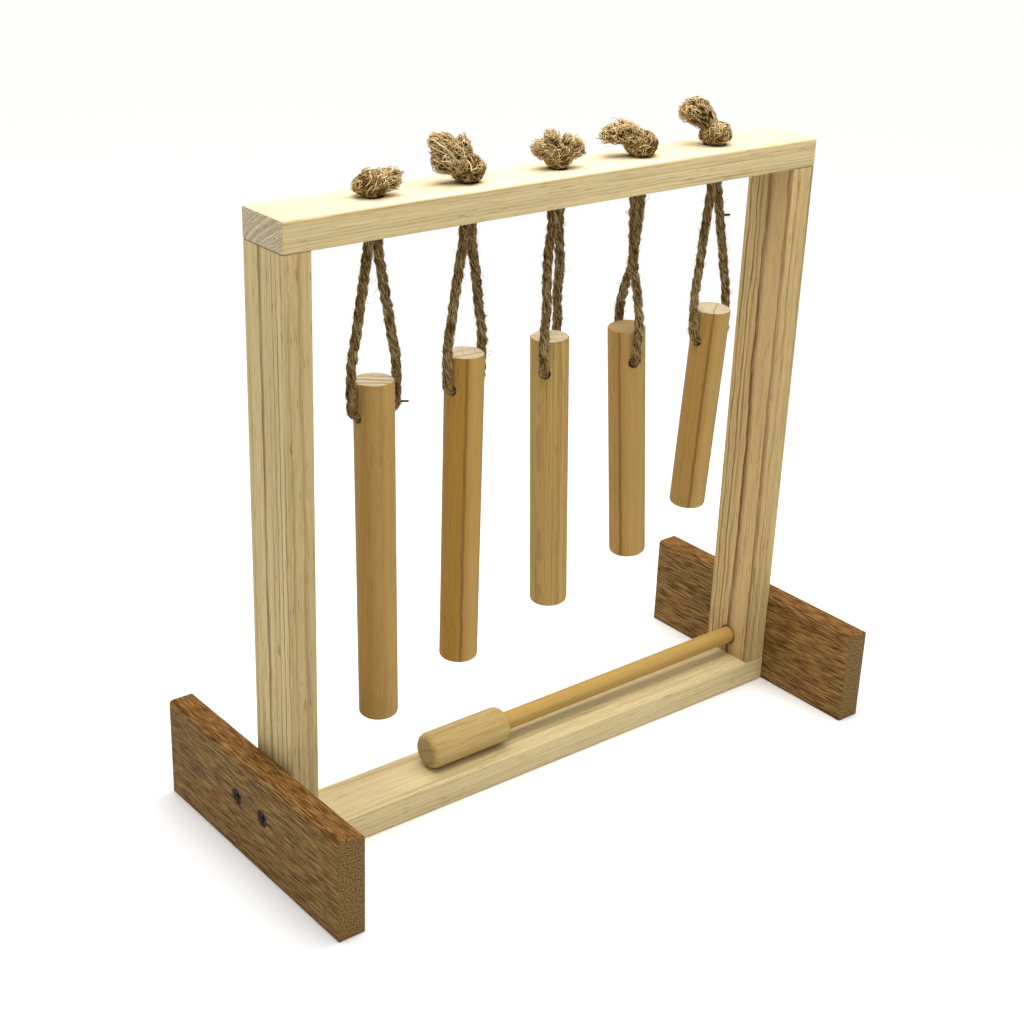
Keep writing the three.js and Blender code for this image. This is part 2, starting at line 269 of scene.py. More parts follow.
# Runs a tree on a base mesh, in jute, and keeps the result as a plain mesh.
def grow(name, base, tree, values):
    values = dict(values, Material=jute)
    holder = newPiece(name + "Base", base)
    modifier = holder.modifiers.new("nodes", "NODES")
    modifier.node_group = tree
    for item in tree.interface.items_tree:
        if item.in_out == "INPUT" and item.name in values:
            modifier[item.identifier] = values[item.name]
    mesh = applied(holder)
    mesh.name = name
    return mesh


def pathMesh(points):
    mesh = bpy.data.meshes.new("path")
    mesh.from_pydata(points, [(i, i + 1) for i in range(len(points) - 1)], [])
    return mesh


# One piece from several meshes of one material. The first has all the attributes.
def joinMeshes(name, meshes, material):
    whole = bmesh.new()
    for mesh in meshes:
        whole.from_mesh(mesh)
    for face in whole.faces:
        face.material_index = 0
    joined = bpy.data.meshes.new(name)
    whole.to_mesh(joined)
    whole.free()
    joined.materials.append(material)
    for mesh in meshes:
        bpy.data.meshes.remove(mesh)
    return newPiece(name, joined)


# Jute
juteFinish = {
    "dark": (0.045, 0.019, 0.003, 1),
    "middle": (0.25, 0.15, 0.046, 1),
    "pale": (0.64, 0.495, 0.265, 1),
    "stops": (0.24, 0.52, 0.95),
    "lengthScale": 140.0,  # of the fibre pattern, per metre of twine
    "roundScale": 5.0,
    "strawScale": 40.0,
    "strawShare": 0.5,
    "patchScale": 150.0,
    "patchShare": 0.4,
    "bump": 0.6,
    "bumpDepth": 0.4 * mm,
    "roughness": 0.9,
    "shine": 0.05,
}


# "along" and "around" lie on the twine's surface, "straw" lightens a fibre
def makeJute(finish):
    material, tree, shader = newMaterial("juteTwine")

    def attribute(name, output):
        return addNode(tree, "ShaderNodeAttribute", attribute_name=name).outputs[output]

    straw = attribute("straw", "Fac")
    length = combine(times(attribute("along", "Fac"), finish["lengthScale"]),
                     times(straw, finish["strawScale"]))
    across = (0.0, finish["roundScale"], finish["roundScale"])
    spot = vectorCalc("MULTIPLY_ADD", attribute("around", "Vector"), across, length)
    fibre = noiseOf(spot, 3.0).outputs["Fac"]
    place = addNode(tree, "ShaderNodeTexCoord").outputs["Object"]
    patch = noiseOf(place, 2.0, finish["patchScale"]).outputs["Fac"]
    tone = timesPlus(straw, finish["strawShare"], fibre)
    tone = timesPlus(patch, finish["patchShare"], minus(tone, finish["patchShare"] / 2))
    ramp = addNode(tree, "ShaderNodeValToRGB", {"Fac": tone})
    stops = ramp.color_ramp.elements
    darkAt, middleAt, paleAt = finish["stops"]
    stops[0].position = darkAt
    stops[0].color = finish["dark"]
    stops[1].position = paleAt
    stops[1].color = finish["pale"]
    stops.new(middleAt).color = finish["middle"]
    feed(shader.inputs["Base Color"], ramp.outputs["Color"])
    feed(shader.inputs["Normal"], addNode(tree, "ShaderNodeBump", {
        "Strength": finish["bump"], "Distance": finish["bumpDepth"], "Height": fibre,
    }))
    setFinish(shader, finish["roughness"], finish["shine"])
    return material


jute = makeJute(juteFinish)

plyCount = 3
plyWander = {"perPly": 31.7, "perSeed": 7.3, "perMetre": 130.0}
plyStart = 0.37  # shifts the fibre pattern from ply to ply
yarnSteps = 3.0  # points round each yarn


# Three plies laid round a path, each ply a bundle of yarns
def makeTwineTree():
    tree, given, output = newTree("twineLay", {
        "Radius": 2.75 * mm, "Lay": 24 * mm, "Step": 0.9 * mm, "Yarn Twist": -230.0, "Yarns": 7,
        "Yarn Depth": 0.14, "Ply Share": 0.55, "Unevenness": 0.2, "Straw": 0.0, "Seed": 1,
    })
    line = addNode(tree, "GeometryNodeMeshToCurve", {"Mesh": given["Geometry"]})
    smooth = addNode(tree, "GeometryNodeCurveSplineType", {"Curve": line}, spline_type="CATMULL_ROM")
    even = addNode(tree, "GeometryNodeResampleCurve", mode="LENGTH")
    feed(even.inputs["Curve"], smooth)
    feed(even.inputs["Length"], given["Step"])
    plies = addNode(tree, "GeometryNodeDuplicateElements", {
        "Geometry": even, "Amount": plyCount,
    }, domain="SPLINE")
    ply = plies.outputs["Duplicate Index"]
    length = alongCurve(tree, "Length")
    normal = addNode(tree, "GeometryNodeInputNormal").outputs["Normal"]
    tangent = addNode(tree, "GeometryNodeInputTangent").outputs["Tangent"]
    side = vectorCalc("CROSS_PRODUCT", tangent, normal)
    spot = timesPlus(ply, plyWander["perPly"], times(given["Seed"], plyWander["perSeed"]))
    wander = addNode(tree, "ShaderNodeTexNoise", {
        "W": timesPlus(length, plyWander["perMetre"], spot), "Scale": 1.0, "Detail": 2.0,
    }, noise_dimensions="1D")
    uneven = times(minus(wander.outputs["Fac"], 0.5), given["Unevenness"])
    swell = timesPlus(uneven, 2.0, 1.0)
    turns = plus(calc("DIVIDE", length, given["Lay"]), uneven)
    angle = times(minus(calc("DIVIDE", ply, float(plyCount)), turns), math.tau)
    plyRadius = times(given["Radius"], given["Ply Share"])
    out = vectorSum(stretch(normal, calc("COSINE", angle)),
                    stretch(side, calc("SINE", angle)))
    laid = addNode(tree, "GeometryNodeSetPosition", {
        "Geometry": plies.outputs["Geometry"],
        "Offset": stretch(out, minus(given["Radius"], plyRadius)),
    })
    led = store(laid, "lead", tangent, "FLOAT_VECTOR")
    twisted = addNode(tree, "GeometryNodeSetCurveTilt", {
        "Curve": led, "Tilt": times(length, given["Yarn Twist"]),
    })
    marked = store(twisted, "along", timesPlus(ply, plyStart, length))
    marked = store(marked, "straw", given["Straw"])
    ring = addNode(tree, "GeometryNodeCurvePrimitiveCircle", {
        "Resolution": times(given["Yarns"], yarnSteps), "Radius": 1.0,
    })
    lobe = calc("COSINE", times(alongCurve(tree, "Factor"), given["Yarns"], math.tau))
    place = positionIn(tree)
    flat = addNode(tree, "ShaderNodeSeparateXYZ", {"Vector": place})
    around = combine(y=flat.outputs["X"], z=flat.outputs["Y"])
    lobed = addNode(tree, "GeometryNodeSetPosition", {
        "Geometry": store(ring.outputs["Curve"], "around", around, "FLOAT_VECTOR"),
        "Position": stretch(place, timesPlus(lobe, given["Yarn Depth"], 1.0)),
    })
    tube = addNode(tree, "GeometryNodeCurveToMesh", {
        "Curve": marked, "Profile Curve": lobed, "Scale": times(plyRadius, swell), "Fill Caps": True,
    })
    endTree(tube, given["Material"], output)
    return tree


fibreForm = {
    "bows": ((0.12, 0.05), (-0.16, 0.12), (0.2, -0.18), (-0.05, -0.1)),  # sideways, early and late
    "steps": 6,
    "taper": -0.5,
    "driftWeight": (1.0, 1.0, 1.3),
    "driftGain": (3.0, 3.0, 3.0),
    "least": 0.2,  # share of Lift that every fibre has
    "shades": (-0.5, 0.6),
    "rise": 0.38,  # share of its length that a standing fibre moves out
}


# Short bent fibres on a surface: they stand up with Lift, or lie flat along a drifting direction.
def makeFibreTree(form):
    tree, given, output = newTree("surfaceFibres", {
        "Density": 100000.0, "Shortest": 2 * mm, "Longest": 7 * mm,
        "Thickness": 0.012,  # share of the fibre's length
        "Sides": 3, "Lift": 0.7, "Drift": 260.0, "Sag": 0.1, "Stray": 0.35,
        "Follow": 0.0,  # how closely the fibres keep to the twine's lay
        "Aim X": 0.0, "Aim Y": 0.0, "Aim Z": 0.0, "Straw": 0.3, "Seed": 1,
    })

    def draw(low, high, extra, kind="FLOAT"):
        return drawValue(tree, kind, low, high, plus(given["Seed"], extra))

    points = addNode(tree, "GeometryNodeDistributePointsOnFaces", {
        "Mesh": given["Geometry"], "Density": given["Density"], "Seed": given["Seed"],
    })
    normal = points.outputs["Normal"]
    hairs = addNode(tree, "GeometryNodeJoinGeometry")
    for early, late in form["bows"]:
        bow = addNode(tree, "GeometryNodeCurvePrimitiveBezierSegment", {"Resolution": form["steps"]})
        height = times(given["Sag"], -1.0)
        for name, x, y, z in (("Start", -0.5, 0.0, height), ("Start Handle", -0.2, early, given["Sag"]),
                              ("End Handle", 0.2, late, given["Sag"]), ("End", 0.5, early, height)):
            feed(bow.inputs[name], combine(x, y, z))
        taper = timesPlus(alongCurve(tree, "Factor"), form["taper"], 1.0)
        hair = tubeOn(bow, times(taper, given["Thickness"]), given["Sides"])
        feed(hairs.inputs[0], addNode(tree, "GeometryNodeGeometryToInstance", {"Geometry": hair}))
    spot = vectorCalc("MULTIPLY", positionIn(tree), form["driftWeight"])
    drift = aroundZero(noiseOf(spot, 1.0, given["Drift"]).outputs["Color"])
    aimed = combine(given["Aim X"], given["Aim Y"], given["Aim Z"])
    drift = vectorCalc("MULTIPLY_ADD", drift, form["driftGain"], aimed)
    drift = vectorSum(drift, stretch(stored(tree, "lead", "FLOAT_VECTOR"), given["Follow"]))
    flat = vectorCalc("CROSS_PRODUCT", normal, vectorCalc("CROSS_PRODUCT", drift, normal))
    flat = vectorCalc("NORMALIZE", flat)
    up = stretch(normal, times(given["Lift"], draw(form["least"], 1.0, 7)))
    stray = draw((-1.0, -1.0, -1.0), (1.0, 1.0, 1.0), 11, "FLOAT_VECTOR")
    aim = vectorSum(vectorSum(flat, up), stretch(stray, given["Stray"]))
    rotation = addNode(tree, "FunctionNodeAxesToRotation", primary_axis="X", secondary_axis="Z")
    feed(rotation.inputs[0], aim)
    feed(rotation.inputs[1], normal)
    size = draw(given["Shortest"], given["Longest"], 37)
    pick = draw(0, len(form["bows"]) - 1, 41, "INT")
    shade = plus(given["Straw"], draw(*form["shades"], 53))
    rise = times(size, times(calc("MINIMUM", given["Lift"], 1.0), form["rise"]))
    raised = addNode(tree, "GeometryNodeSetPosition", {
        "Geometry": store(points.outputs["Points"], "straw", shade), "Offset": stretch(aim, rise),
    })
    spread = addNode(tree, "GeometryNodeInstanceOnPoints", {
        "Points": raised, "Instance": hairs, "Pick Instance": True, "Instance Index": pick,
        "Rotation": rotation, "Scale": size,
    })
    endTree(spread, given["Material"], output)
    return tree


frayForm = {
    "points": 9,
    "shades": (-0.55, 0.45),
    "phase": 1.2,
    "lockPhase": 9.0,
    "openBy": 0.9,  # share of the length where the locks stand apart
    "hold": -0.8,
    "bendScale": 170.0,
    "bendGain": 3.0,
    "taper": -0.35,
}


# A frayed end: fibres leave along Z in a few locks, spread out and curl.
def makeFrayTree(form):
    tree, given, output = newTree("frayedEnd", {
        "Count": 240, "Length": 24 * mm, "Root": 2.8 * mm, "Flare": 8 * mm, "Droop": 0.0, "Locks": 9,
        "Lock Hold": 0.55, "Ragged": 0.2, "Thickness": 0.3 * mm, "Sides": 4, "Curl": 1.6 * mm,
        "Straw": 0.5, "Seed": 1,
    })

    def draw(low, high, extra, key=None):
        return drawValue(tree, "FLOAT", low, high, plus(given["Seed"], extra), key)

    def onDisc(extra, key=None):
        turn = draw(0.0, math.tau, extra, key)
        reach = calc("SQRT", draw(0.0, 1.0, extra + 1, key))
        return combine(times(calc("COSINE", turn), reach),
                       times(calc("SINE", turn), reach))

    roots = addNode(tree, "GeometryNodePoints", {"Count": given["Count"], "Radius": 0.0})
    lock = drawValue(tree, "INT", 1, given["Locks"], given["Seed"])
    cut = times(plus(draw(0.0, 0.5, 13), draw(0.0, 1.0, 14, lock)), given["Ragged"])
    phase = plus(draw(0.0, form["phase"], 19), times(lock, form["lockPhase"]))
    marked = store(roots, "own", onDisc(5), "FLOAT_VECTOR")
    marked = store(marked, "lockPlace", onDisc(9, lock), "FLOAT_VECTOR")
    marked = store(marked, "reach", minus(1.0, cut))
    marked = store(marked, "straw", plus(given["Straw"], draw(*form["shades"], 17)))
    marked = store(marked, "phase", phase)
    strand = addNode(tree, "GeometryNodeResampleCurve", mode="COUNT")
    feed(strand.inputs["Curve"], addNode(tree, "GeometryNodeCurvePrimitiveLine", {"End": (0, 0, 1)}))
    feed(strand.inputs["Count"], form["points"])
    placed = addNode(tree, "GeometryNodeInstanceOnPoints", {"Points": marked, "Instance": strand})
    loose = addNode(tree, "GeometryNodeRealizeInstances", {"Geometry": placed})
    share = alongCurve(tree, "Factor")
    opening = smoothRange(share, 0.0, form["openBy"])
    own = stored(tree, "own", "FLOAT_VECTOR")
    inLock = stretch(stored(tree, "lockPlace", "FLOAT_VECTOR"), given["Lock Hold"])
    gathered = vectorSum(stretch(own, minus(1.0, given["Lock Hold"])), inLock)
    wide = stretch(gathered, times(opening, given["Flare"]))
    hold = timesPlus(opening, form["hold"], 1.0)
    narrow = stretch(own, times(given["Root"], hold))
    height = times(share, given["Length"], stored(tree, "reach"))
    droop = times(calc("POWER", share, 2.0), given["Droop"])
    spot = combine(x=stored(tree, "phase"), z=times(height, form["bendScale"]))
    bend = aroundZero(noiseOf(spot, 1.5).outputs["Color"])
    curl = stretch(bend, times(opening, given["Curl"], form["bendGain"]))
    rise = vectorSum(combine(x=droop, z=height), curl)
    shaped = addNode(tree, "GeometryNodeSetPosition", {
        "Geometry": loose, "Position": vectorSum(vectorSum(wide, narrow), rise),
    })
    taper = times(timesPlus(share, form["taper"], 1.0), given["Thickness"])
    endTree(tubeOn(shaped, taper, given["Sides"]), given["Material"], output)
    return tree


twineTree = makeTwineTree()
fibreTree = makeFibreTree(fibreForm)
frayTree = makeFrayTree(frayForm)
print("stage: node trees built")


# Hangers: for each chime one length of twine, doubled through the beam and looped through the dowel
twineSizes = {  # mm
    "diameter": 5.5,
    "inKnot": 1.2,  # from a strand to the hole's middle
    "intoKnot": 7.0,
    "inBeam": 2.65,
    "straight": 6.0,
    "together": 3.0,
    "apart": 15.8,
    "neck": 7.0,
    "twist": 65.0,
    "belowTop": 20.55,
    "clearOfTop": 8.0,
    "bend": 4.0,
    "cut": 3.5,
    "step": 1.6,
}
hangers = [
    {"x": -136, "drop": 111.0, "parting": 9, "holeTurn": 179.5, "swing": 0.2, "sway": -0.7, "rock": 0.8,
     "bristle": (17.5, 108)},
    {"x": -68, "drop": 106.5, "parting": 16, "holeTurn": 192.1, "swing": -0.2, "sway": 0.2, "rock": 0.2},
    {"x": 0, "drop": 109.0, "parting": 17, "holeTurn": 215.6, "swing": 0.8, "sway": -0.9, "rock": 2.0},
    {"x": 68, "drop": 114.0, "parting": 50, "holeTurn": 251.6, "swing": 0.8, "sway": -0.2, "rock": 4.3},
    {"x": 136, "drop": 110.8, "parting": 11, "holeTurn": 183.9, "swing": -3.6, "sway": 0.3, "rock": -6.6,
     "bristle": (6.6, 28.5)},
]


def loopFrame(hanger):
    neck = Matrix.Translation((hanger["x"] * mm, 0, beamUnder)) @ turned(hanger["swing"], "X")
    return neck @ Matrix.Translation((0, 0, -twineSizes["neck"] * mm)) @ turned(hanger["sway"], "Y")


def dowelFrame(hanger):
    down = Matrix.Translation((0, 0, (twineSizes["neck"] - hanger["drop"]) * mm))
    return loopFrame(hanger) @ down @ turned(hanger["holeTurn"], "Z") @ turned(hanger["rock"], "X")


# One strand as offset, depth under the beam and turn, then both strands as points
def hangerPath(hanger):
    size = twineSizes
    drop, parting, holeTurn = hanger["drop"], hanger["parting"], hanger["holeTurn"]
    alongside = drop - size["belowTop"] - size["clearOfTop"]
    strand = []
    for depth in [size["neck"]] + [parting + (alongside - parting) * k / 4 for k in range(5)]:
        share = max(0, (depth - parting) / (alongside - parting))
        turn = min(1, (depth - size["neck"]) / (size["twist"] - size["neck"]))
        offset = size["together"] + (size["apart"] - size["together"]) * share
        strand.append((offset, depth, 180 + (holeTurn - 180) * turn))
    middle = size["apart"] - size["bend"]
    for degrees in (0, 30, 60, 90):
        angle = math.radians(degrees)
        out = middle + size["bend"] * math.cos(angle)
        strand.append((out, drop - size["bend"] + size["bend"] * math.sin(angle), holeTurn))
    strand.append((middle / 2, drop, holeTurn))
    loop = loopFrame(hanger)

    def places(extra):
        made = []
        for x, z in ((size["inKnot"], beamTop + size["intoKnot"] * mm), (size["inBeam"], beamTop),
                     (size["inBeam"], beamUnder + size["straight"] * mm)):
            made.append(Vector((hanger["x"] * mm - x * mm * math.cos(extra), 0, z)))
        for offset, depth, turn in strand:
            angle = math.radians(turn) + extra
            local = Vector((offset * math.cos(angle), offset * math.sin(angle), size["neck"] - depth))
            made.append(loop @ (local * mm))
        return made

    hole = loop @ Vector((0, 0, (size["neck"] - drop) * mm))
    return smoothPath(places(0) + [hole] + places(math.pi)[::-1], size["step"] * mm)


# A curve through all the points, each stretch shaped by the points before and after it
def smoothPath(points, step):
    made = []
    for i in range(len(points) - 1):
        before = points[max(i - 1, 0)]
        start, end = points[i], points[i + 1]
        after = points[min(i + 2, len(points) - 1)]
        count = max(1, round((end - start).length / step))
        for k in range(count):
            t = k / count
            bow = (end - before) * t + (2 * before - 5 * start + 4 * end - after) * t ** 2
            made.append(start + 0.5 * (bow + (3 * start - before - 3 * end + after) * t ** 3))
    return made + [points[-1]]


def cutMesh(mesh, height, keepTop):
    part = mesh.copy()
    work = bmesh.new()
    work.from_mesh(part)
    everything = work.verts[:] + work.edges[:] + work.faces[:]
    bmesh.ops.bisect_plane(work, geom=everything, plane_co=(0, 0, height), plane_no=(0, 0, 1),
                           clear_outer=not keepTop, clear_inner=keepTop)
    work.to_mesh(part)
    work.free()
    return part


twineLook = {"Radius": 2.9 * mm, "Lay": 24 * mm, "Yarn Depth": 0.15, "Unevenness": 0.2, "Straw": -0.34}
shortHairs = {"Density": 130000.0, "Shortest": 1.5 * mm, "Longest": 4.5 * mm, "Thickness": 0.026,
              "Straw": 0.0}
longHairs = {"Density": 18000.0, "Shortest": 4 * mm, "Longest": 9 * mm, "Thickness": 0.015, "Straw": -0.1}
clingHairs = {"Density": 394000.0, "Shortest": 3 * mm, "Longest": 7 * mm, "Thickness": 0.034, "Straw": 0.46,
              "Lift": 0.06, "Sag": 0.04, "Drift": 120.0, "Stray": 0.12, "Follow": 5.0}
bristleLook = {"Count": 14, "Length": 7 * mm, "Root": 0.6 * mm, "Flare": 0.9 * mm, "Thickness": 0.3 * mm,
               "Locks": 3, "Curl": 0.5 * mm, "Straw": -1.2}
bristleTurn, bristleTip = -38, 92
swingRoom = 1.3  # slope of the cone under the beam that the hairs stay in


# Takes off the hairs that would brush the beam when the twine swings
def clearOfBeam(mesh, hanger):
    mouth = Vector((hanger["x"] * mm, 0, beamUnder))
    work = bmesh.new()
    work.from_mesh(mesh)
    edge = [v for v in work.verts if (v.co - mouth).xy.length > swingRoom * (beamUnder - v.co.z)]
    hairs = set(edge)
    while edge:
        edge = list({e.other_vert(v) for v in edge for e in v.link_edges} - hairs)
        hairs.update(edge)
    bmesh.ops.delete(work, geom=list(hairs), context="VERTS")
    work.to_mesh(mesh)
    work.free()


def makeHanger(number, hanger):
    points = hangerPath(hanger)
    twine = grow("twine", pathMesh(points), twineTree, dict(twineLook, Seed=number))
    cutHeight = beamUnder - twineSizes["cut"] * mm
    upper = newPiece(f"twineNeck_{number}", cutMesh(twine, cutHeight, True))
    lower = newPiece(f"twineLoop_{number}", cutMesh(twine, cutHeight, False))
    hairs = []
    for kind, look in (("short", shortHairs), ("long", longHairs), ("cling", clingHairs)):
        base = lower.data.copy()
        hairs.append(grow(kind, base, fibreTree, dict(look, Seed=number * 10)))
    if "bristle" in hanger:
        offset, depth = hanger["bristle"]
        spot = Vector((offset * mm, 0, (twineSizes["neck"] - depth) * mm))
        bristle = grow("bristle", bpy.data.meshes.new("root"), frayTree, dict(bristleLook, Seed=number))
        place = loopFrame(hanger) @ Matrix.Translation(spot)
        bristle.transform(place @ turned(bristleTurn, "Z") @ turned(bristleTip, "Y"))
        hairs.append(bristle)
    fuzz = joinMeshes(f"twineFuzz_{number}", hairs, jute)
    clearOfBeam(fuzz.data, hanger)

    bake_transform(upper)
    for piece in (lower, fuzz):
        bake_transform(piece)
    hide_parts(f"twine_neck_{number}")
    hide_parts(f"twine_loop_{number}")


for number, hanger in enumerate(hangers, 1):
    makeHanger(number, hanger)
print("stage: twine hung")


# Knots on top of the beam, with their frayed ends
knots = [
    {"ball": (9.8, 8.8, 7.8), "rise": 7.4, "shift": -0.4, "tails": [
        {"turn": -10, "rise": 9, "length": 18.5, "neck": 6.4, "end": 6.4, "droop": 0, "brush": 60},
        {"turn": 172, "rise": -4, "length": 12.5, "neck": 4.6, "end": 4.6, "droop": 0, "brush": 40},
    ]},
    {"ball": (10.6, 9.6, 8.4), "rise": 8.0, "shift": -1.0, "shade": -0.05, "tails": [
        {"turn": 160, "rise": 45, "length": 30.5, "neck": 5.6, "end": 7.2, "droop": 3, "brush": 90,
         "shade": 0.15},
        {"turn": 170, "rise": 12, "length": 25, "neck": 5.0, "end": 6.6, "droop": -3, "brush": 60},
        {"turn": 130, "rise": 70, "length": 20, "neck": 5.2, "end": 5.6, "droop": 0, "brush": 50},
    ]},
    {"ball": (9.0, 8.4, 7.8), "rise": 7.5, "shift": 0.0, "tails": [
        {"turn": 168, "rise": 22, "length": 19.5, "neck": 5.0, "end": 5.8, "droop": -1, "brush": 70},
        {"turn": 160, "rise": 66, "length": 18, "neck": 4.8, "end": 4.4, "droop": 0, "brush": 60},
        {"turn": -15, "rise": 54, "length": 16, "neck": 4.8, "end": 4.6, "droop": 0, "brush": 60},
        {"turn": -12, "rise": 22, "length": 18, "neck": 5.6, "end": 6.0, "droop": -1, "brush": 60},
    ]},
    {"ball": (11.4, 9.8, 8.2), "rise": 7.6, "shift": 0.0, "tails": [
        {"turn": 160, "rise": 42, "length": 27, "neck": 6.8, "end": 8.4, "droop": 12, "brush": 40},
    ]},
    {"ball": (11.0, 9.8, 8.0), "rise": 7.4, "shift": -2.6, "tails": [
        {"turn": 152, "rise": 54, "length": 31, "neck": 5.0, "end": 9.4, "droop": 7, "brush": 230,
         "shade": -0.1, "comb": 3.0, "curl": 0.35},
    ]},
]
windLook = {"Radius": 2.6 * mm, "Lay": 17 * mm, "Step": 1.4 * mm, "Yarn Depth": 0.24, "Unevenness": 0.45,
            "Straw": -0.35}
matLook = {"Density": 330000.0, "Shortest": 4 * mm, "Longest": 9 * mm, "Thickness": 0.05, "Sides": 4,
           "Lift": 0.1, "Drift": 150.0, "Sag": 0.18, "Straw": 0.12}
curlLook = {"Density": 170000.0, "Shortest": 3 * mm, "Longest": 6 * mm, "Thickness": 0.045, "Sides": 4,
            "Lift": 0.3, "Drift": 300.0, "Sag": 0.3, "Straw": 0.4}
hairLook = {"Density": 60000.0, "Shortest": 2 * mm, "Longest": 5 * mm, "Thickness": 0.014, "Straw": 0.3}
tailMat = dict(matLook, Density=230000.0, Straw=0.4, Drift=260.0, Sag=0.2, Shortest=3 * mm, Longest=7 * mm)
tailCurl = dict(curlLook, Density=240000.0, Straw=0.6, Lift=0.45)
lockLook = {"Thickness": 0.42 * mm, "Straw": 0.5, "Locks": 8, "Lock Hold": 0.7, "Curl": 2.4 * mm,
            "Ragged": 0.4}
wispLook = {"Count": 45, "Thickness": 0.09 * mm, "Sides": 3, "Straw": 0.5, "Locks": 14, "Lock Hold": 0.3,
            "Curl": 3.0 * mm, "Ragged": 0.4}
knotForm = {  # lengths in mm
    "heartInset": 2.4,  # from the knot's outside to its dark heart
    "coatInset": 0.6,
    "lump": 0.12,
    "lumpScale": 1.7,
    "seedShift": 9.0,
    "offBeam": 0.2,
    "windInset": 2.8,
    "windOffBeam": 2.4,
    "windPoints": 150,
    "windStep": 0.22,  # radians, as are the rates
    "turnRate": 0.55,
    "seedTurn": 70,  # degrees
    "lean": 48,
    "leanSwing": 34,
    "leanRate": 0.41,
    # painted shade: the hearts of knots and tails are darkened to stand for the shadow between the fibres
    "heartPaintedShade": -0.6,  # dark between the fibres
}
tailForm = {  # lengths in mm
    "start": 3,  # from the knot's middle
    "heartInset": 1.2,
    "coatInset": 0.6,
    "rows": 16,
    "spokes": 22,
    "flareEnd": 0.75,  # shares of the length
    "roundFrom": 0.72,
    "roundness": 2.6,
    "thinnest": 0.05,
    "lump": 0.42,
    "lumpScale": 1.6,
    "lumpLength": 0.9,
    "fineLump": 0.6,
    "fineScale": 3.4,
    "even": 0.92,
    "ragged": 0.16,
    "raggedScale": 1.9,
    "seedShift": 5.0,
    "heartDroop": 0.9,
    "flare": 1.1,  # of the loose fibres, as is the next
    "droop": 0.75,
}


# Gives a heart mesh jute with a dark straw value: painted shade seen through the fibres over it
def asHeart(mesh):
    mesh.shade_smooth()
    mesh.materials.append(jute)
    shade = mesh.attributes.new("straw", "FLOAT", "POINT")
    shade.data.foreach_set("value", [knotForm["heartPaintedShade"]] * len(mesh.vertices))
    return mesh


def ballMesh(centre, radii, seed):
    work = bmesh.new()
    bmesh.ops.create_icosphere(work, subdivisions=4, radius=1)
    shift = Vector((seed * knotForm["seedShift"], 0, 0))
    for vertex in work.verts:
        lump = 1 + knotForm["lump"] * noise.noise(vertex.co * knotForm["lumpScale"] + shift)
        vertex.co = centre + Vector([c * r * mm * lump for c, r in zip(vertex.co, radii)])
        vertex.co.z = max(vertex.co.z, beamTop + knotForm["offBeam"] * mm)
    mesh = bpy.data.meshes.new("ball")
    work.to_mesh(mesh)
    work.free()
    return asHeart(mesh)


# The solid heart of a frayed end: a flaring sleeve with a blunt lumpy end, darkened as painted shade
# between the fibres
def sleeveMesh(tail, inset, seed):
    form = tailForm
    points, faces = [], []
    rows, spokes = form["rows"], form["spokes"]
    for row in range(rows):
        t = row / (rows - 1)
        spread = min(1, t / form["flareEnd"])
        radius = tail["neck"] + (tail["end"] - tail["neck"]) * spread * spread * (3 - 2 * spread)
        blunt = max(0, (t - form["roundFrom"]) / (1 - form["roundFrom"])) ** form["roundness"]
        radius *= math.sqrt(max(0.0, 1 - blunt))
        for spoke in range(spokes):
            angle = math.tau * spoke / spokes
            height = t * form["lumpLength"] + seed * form["seedShift"]
            spot = Vector((math.cos(angle), math.sin(angle), height))
            lump = noise.noise(spot * form["lumpScale"])
            lump += form["fineLump"] * noise.noise(spot * form["fineScale"])
            out = max(form["thinnest"], (radius - inset) * (1 + form["lump"] * lump * t))
            uneven = form["even"] + form["ragged"] * noise.noise(spot * form["raggedScale"])
            reach = (tail["length"] - form["start"]) * uneven
            aside = out * math.cos(angle) + tail["droop"] * t * t * form["heartDroop"]
            points.append(Vector((aside, out * math.sin(angle), (reach - inset) * t)) * mm)
    for row in range(rows - 1):
        for spoke in range(spokes):
            after = (spoke + 1) % spokes
            low, high = row * spokes, (row + 1) * spokes
            faces.append((low + spoke, low + after, high + after, high + spoke))
    faces.append(tuple(range((rows - 1) * spokes, rows * spokes)))
    faces.append(tuple(reversed(range(spokes))))
    mesh = bpy.data.meshes.new("sleeve")
    mesh.from_pydata(points, [], faces)
    return asHeart(mesh)


# The twine wound into the knot, turn over turn with a wandering lean
def windPath(centre, radii, seed):
    form = knotForm
    points = []
    for k in range(form["windPoints"]):
        t = k * form["windStep"]
        heading = math.degrees(form["turnRate"] * t) + form["seedTurn"] * seed
        tip = form["lean"] + form["leanSwing"] * math.sin(form["leanRate"] * t + seed)
        spot = turned(heading, "Z") @ turned(tip, "X") @ Vector((math.cos(t), math.sin(t), 0))
        place = centre + Vector([c * (r - form["windInset"]) * mm for c, r in zip(spot, radii)])
        place.z = max(place.z, beamTop + form["windOffBeam"] * mm)
        points.append(place)
    return points


